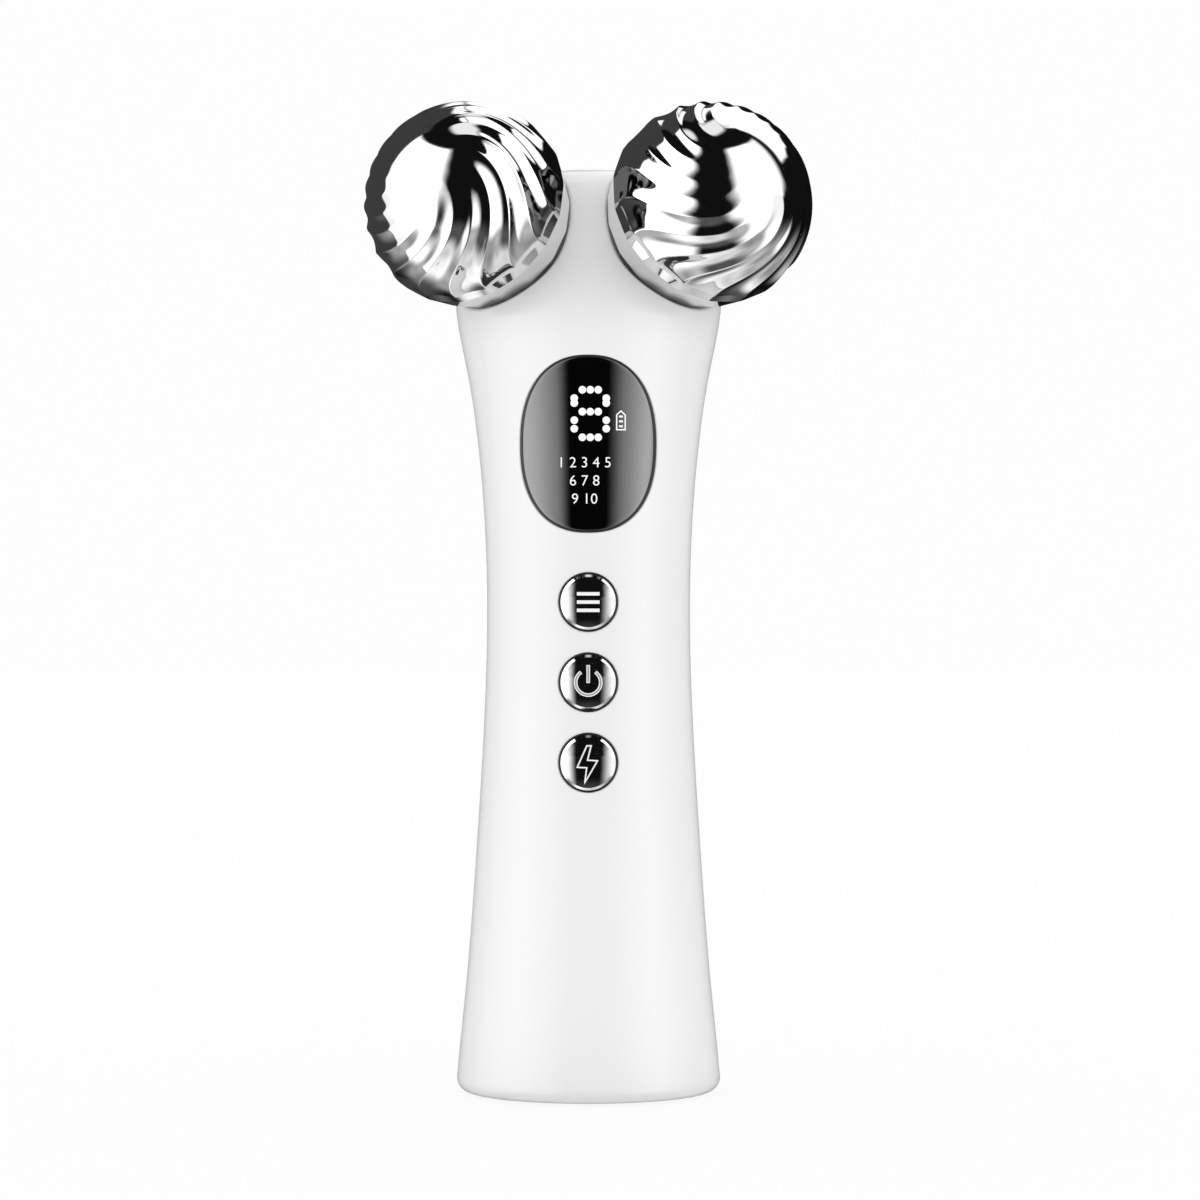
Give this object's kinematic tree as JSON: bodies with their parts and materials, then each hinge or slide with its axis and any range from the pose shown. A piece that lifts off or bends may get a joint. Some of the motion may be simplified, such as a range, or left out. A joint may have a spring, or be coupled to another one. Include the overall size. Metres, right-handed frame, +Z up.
{
  "type": "facial toning device",
  "caption": "Hand-held facial toning device: a waisted handle with display, push buttons and a V of freely turning fluted chrome balls that roll and carry the current.",
  "frame": {"origin": "middle of the foot pad's lower face, on the surface that the device stands on, under the handle's axis", "axes": "+Z up along the handle, -Y towards the display and buttons, +X to the right as seen from the front"},
  "size_m": [0.0654, 0.0428, 0.146],
  "materials": {
    "white_shell": "high-gloss moulded, white",
    "lens_black": "polished smoked black lens",
    "chrome_ball": "mirror chrome plate",
    "chrome_cap": "mirror chrome plate",
    "black_trim": "fine moulded black",
    "grey_plastic": "moulded, inner parts",
    "steel": "turned and zinc plated",
    "brass": "tinned or bare brass",
    "soft_rubber": "matt silicone, pale grey",
    "dark_rubber": "matt black elastomer",
    "circuit_board": "green solder mask",
    "chip_black": "epoxy package",
    "battery_foil": "laminated foil pouch",
    "led_white": "white light chip",
    "wire_red": "insulated wire"
  },
  "bodies": {
    "handle": {"front_shell": "white_shell", "rear_shell": "white_shell", "base_cap": "white_shell", "screw_plugs": "white_shell", "base_pad": "soft_rubber", "display_lens": "lens_black", "lens_gasket": "dark_rubber", "case_screws": "steel", "display_module": "chip_black", "display_leds": "led_white", "main_board": "circuit_board", "control_chip": "chip_black", "boost_coil": "chip_black", "buzzer": "chip_black", "board_capacitors": "brass", "chassis": "grey_plastic", "battery_cell": "battery_foil", "battery_foam": "dark_rubber", "battery_leads": "wire_red", "charge_board": "circuit_board", "charge_leads": "wire_red", "usb_shell": "steel", "usb_tongue": "black_trim", "board_screws": "steel", "shaft_carrier": "grey_plastic", "carrier_screws": "steel", "shaft_screws": "steel", "bezel_mode": "black_trim", "switch_mode": "steel", "bezel_power": "black_trim", "switch_power": "steel", "bezel_level": "black_trim", "switch_level": "steel", "shaft_left": "steel", "shaft_washers_left": "steel", "shaft_clip_left": "steel", "shaft_seal_left": "dark_rubber", "contact_lug_left": "brass", "electrode_lead_left": "wire_red", "shaft_right": "steel", "shaft_washers_right": "steel", "shaft_clip_right": "steel", "shaft_seal_right": "dark_rubber", "contact_lug_right": "brass", "electrode_lead_right": "wire_red"},
    "button_mode": {"button_mode": "chrome_cap", "plunger_mode": "black_trim"},
    "button_power": {"button_power": "chrome_cap", "plunger_power": "black_trim"},
    "button_level": {"button_level": "chrome_cap", "plunger_level": "black_trim"},
    "roller_left": {"roller_shell_left": "chrome_ball", "roller_core_left": "grey_plastic", "roller_bushes_left": "brass"},
    "roller_right": {"roller_shell_right": "chrome_ball", "roller_core_right": "grey_plastic", "roller_bushes_right": "brass"}
  },
  "joints": [
    {"name": "roller_left_spin", "type": "hinge", "parent": "handle", "child": "roller_left", "pos_m": [-0.01773, -0.011, 0.131], "axis": [-0.43, -0.8301, 0.355], "continuous": true},
    {"name": "roller_right_spin", "type": "hinge", "parent": "handle", "child": "roller_right", "pos_m": [0.01773, -0.011, 0.131], "axis": [0.43, -0.8301, 0.355], "continuous": true},
    {"name": "button_mode_press", "type": "slide", "parent": "handle", "child": "button_mode", "axis": [0, 1, 0], "range_m": [0, 0.0004], "stiffness_N_per_m": 2000},
    {"name": "button_power_press", "type": "slide", "parent": "handle", "child": "button_power", "axis": [0, 1, 0], "range_m": [0, 0.0004], "stiffness_N_per_m": 2000},
    {"name": "button_level_press", "type": "slide", "parent": "handle", "child": "button_level", "axis": [0, 1, 0], "range_m": [0, 0.0004], "stiffness_N_per_m": 2000}
  ]
}
